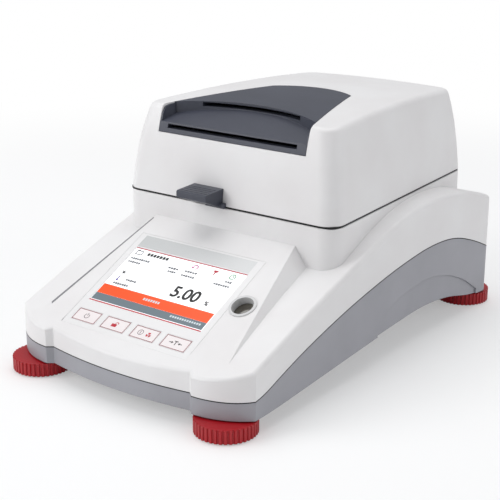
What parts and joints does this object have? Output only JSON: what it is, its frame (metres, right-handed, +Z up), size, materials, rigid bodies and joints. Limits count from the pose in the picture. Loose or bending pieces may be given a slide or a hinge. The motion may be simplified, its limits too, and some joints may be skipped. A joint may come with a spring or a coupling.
{
  "type": "moisture analyzer",
  "caption": "Bench moisture analyzer with a hinged halogen drying lid over a weighing chamber, a sloping touch panel and knurled levelling feet.",
  "frame": {"origin": "on the bench under the middle of the instrument, midway between the four feet", "axes": "+Z up, -Y towards the operator at the control panel, +X to the operator's right"},
  "size_m": [0.21, 0.354, 0.179],
  "materials": {
    "white_abs": "satin moulded ABS",
    "grey_abs": "satin moulded ABS",
    "slate_plastic": "fine textured moulding",
    "black_plastic": "textured heat-resistant moulding",
    "key_film": "printed film",
    "display_glass": "polished",
    "lcd_plastic": "moulded",
    "circuit_board": "solder mask",
    "level_glass": "polished",
    "level_trim": "moulded",
    "steel": "brushed",
    "aluminium": "satin",
    "lamp_glass": "polished quartz",
    "ceramic": "fired ceramic",
    "red_plastic": "moulded",
    "rubber": "matt"
  },
  "bodies": {
    "base": {"upper_housing": "white_abs", "lower_housing": "grey_abs", "housing_screws": "steel", "hinge_brackets": "black_plastic", "hinge_pins": "steel", "control_overlay": "white_abs", "touch_glass": "display_glass", "lcd_module": "lcd_plastic", "display_board": "circuit_board", "key_board": "black_plastic", "level_vial": "level_glass", "level_ring": "level_trim", "chamber_tray": "black_plastic", "chamber_well": "steel", "well_floor": "steel", "heat_shield": "steel", "chassis": "steel", "load_cell": "aluminium", "load_cell_block": "aluminium", "main_board": "circuit_board", "board_standoffs": "steel", "power_supply": "steel", "rear_panel": "grey_abs", "power_inlet": "black_plastic", "serial_port": "steel", "usb_ports": "steel"},
    "lid": {"lid_shell": "white_abs", "lid_vent": "slate_plastic", "lid_handle": "slate_plastic", "lid_liner": "aluminium", "protective_glass": "lamp_glass", "glass_retainer": "steel", "reflector": "aluminium", "halogen_lamp": "lamp_glass", "lamp_holders": "ceramic", "temperature_sensor": "steel", "lid_knuckles": "steel"},
    "draft_shield": {"draft_shield": "aluminium"},
    "pan_handler": {"pan_handler": "steel"},
    "sample_pan": {"sample_pan": "aluminium"},
    "pan_support": {"pan_support": "steel"},
    "key_power": {"key_power": "key_film"},
    "key_lock": {"key_lock": "key_film"},
    "key_stop": {"key_stop": "key_film"},
    "key_tare": {"key_tare": "key_film"},
    "foot_pad_front_left": {"foot_pad_front_left": "rubber"},
    "foot_wheel_front_left": {"foot_wheel_front_left": "red_plastic", "foot_stud_front_left": "steel"},
    "foot_pad_front_right": {"foot_pad_front_right": "rubber"},
    "foot_wheel_front_right": {"foot_wheel_front_right": "red_plastic", "foot_stud_front_right": "steel"},
    "foot_pad_rear_left": {"foot_pad_rear_left": "rubber"},
    "foot_wheel_rear_left": {"foot_wheel_rear_left": "red_plastic", "foot_stud_rear_left": "steel"},
    "foot_pad_rear_right": {"foot_pad_rear_right": "rubber"},
    "foot_wheel_rear_right": {"foot_wheel_rear_right": "red_plastic", "foot_stud_rear_right": "steel"}
  },
  "joints": [
    {"name": "lid_hinge", "type": "hinge", "parent": "base", "child": "lid", "pos_m": [0, 0.1635, 0.1075], "axis": [-1, 0, 0], "range_deg": [0, 80]},
    {"name": "draft_shield_lift", "type": "slide", "parent": "base", "child": "draft_shield", "axis": [0, 0, 1], "range_m": [0, 0.003]},
    {"name": "pan_handler_lift", "type": "slide", "parent": "draft_shield", "child": "pan_handler", "axis": [0, 0, 1], "range_m": [0, 0.006]},
    {"name": "sample_pan_lift", "type": "slide", "parent": "pan_handler", "child": "sample_pan", "axis": [0, 0, 1], "range_m": [0, 0.006]},
    {"name": "pan_support_weighing", "type": "slide", "parent": "base", "child": "pan_support", "axis": [0, 0, -1], "range_m": [0, 0.0003], "stiffness_N_per_m": 4000},
    {"name": "key_power_press", "type": "slide", "parent": "base", "child": "key_power", "axis": [0, 0.4531, -0.8915], "range_m": [0, 0.0005], "stiffness_N_per_m": 1500},
    {"name": "key_lock_press", "type": "slide", "parent": "base", "child": "key_lock", "axis": [0, 0.4531, -0.8915], "range_m": [0, 0.0005], "stiffness_N_per_m": 1500},
    {"name": "key_stop_press", "type": "slide", "parent": "base", "child": "key_stop", "axis": [0, 0.4531, -0.8915], "range_m": [0, 0.0005], "stiffness_N_per_m": 1500},
    {"name": "key_tare_press", "type": "slide", "parent": "base", "child": "key_tare", "axis": [0, 0.4531, -0.8915], "range_m": [0, 0.0005], "stiffness_N_per_m": 1500},
    {"name": "foot_height_front_left", "type": "slide", "parent": "base", "child": "foot_pad_front_left", "axis": [0, 0, 1], "range_m": [-0.005, 0.0005]},
    {"name": "foot_turn_front_left", "type": "hinge", "parent": "foot_pad_front_left", "child": "foot_wheel_front_left", "pos_m": [-0.084, -0.156, 0], "axis": [0, 0, 1], "range_deg": [-1440, 144]},
    {"name": "foot_height_front_right", "type": "slide", "parent": "base", "child": "foot_pad_front_right", "axis": [0, 0, 1], "range_m": [-0.005, 0.0005]},
    {"name": "foot_turn_front_right", "type": "hinge", "parent": "foot_pad_front_right", "child": "foot_wheel_front_right", "pos_m": [0.084, -0.156, 0], "axis": [0, 0, 1], "range_deg": [-1440, 144]},
    {"name": "foot_height_rear_left", "type": "slide", "parent": "base", "child": "foot_pad_rear_left", "axis": [0, 0, 1], "range_m": [-0.005, 0.0005]},
    {"name": "foot_turn_rear_left", "type": "hinge", "parent": "foot_pad_rear_left", "child": "foot_wheel_rear_left", "pos_m": [-0.084, 0.156, 0], "axis": [0, 0, 1], "range_deg": [-1440, 144]},
    {"name": "foot_height_rear_right", "type": "slide", "parent": "base", "child": "foot_pad_rear_right", "axis": [0, 0, 1], "range_m": [-0.005, 0.0005]},
    {"name": "foot_turn_rear_right", "type": "hinge", "parent": "foot_pad_rear_right", "child": "foot_wheel_rear_right", "pos_m": [0.084, 0.156, 0], "axis": [0, 0, 1], "range_deg": [-1440, 144]}
  ],
  "couplings": [
    {"joint": "foot_height_front_left", "follows": "foot_turn_front_left", "m_per_rad": 0.00019894},
    {"joint": "foot_height_front_right", "follows": "foot_turn_front_right", "m_per_rad": 0.00019894},
    {"joint": "foot_height_rear_left", "follows": "foot_turn_rear_left", "m_per_rad": 0.00019894},
    {"joint": "foot_height_rear_right", "follows": "foot_turn_rear_right", "m_per_rad": 0.00019894}
  ]
}
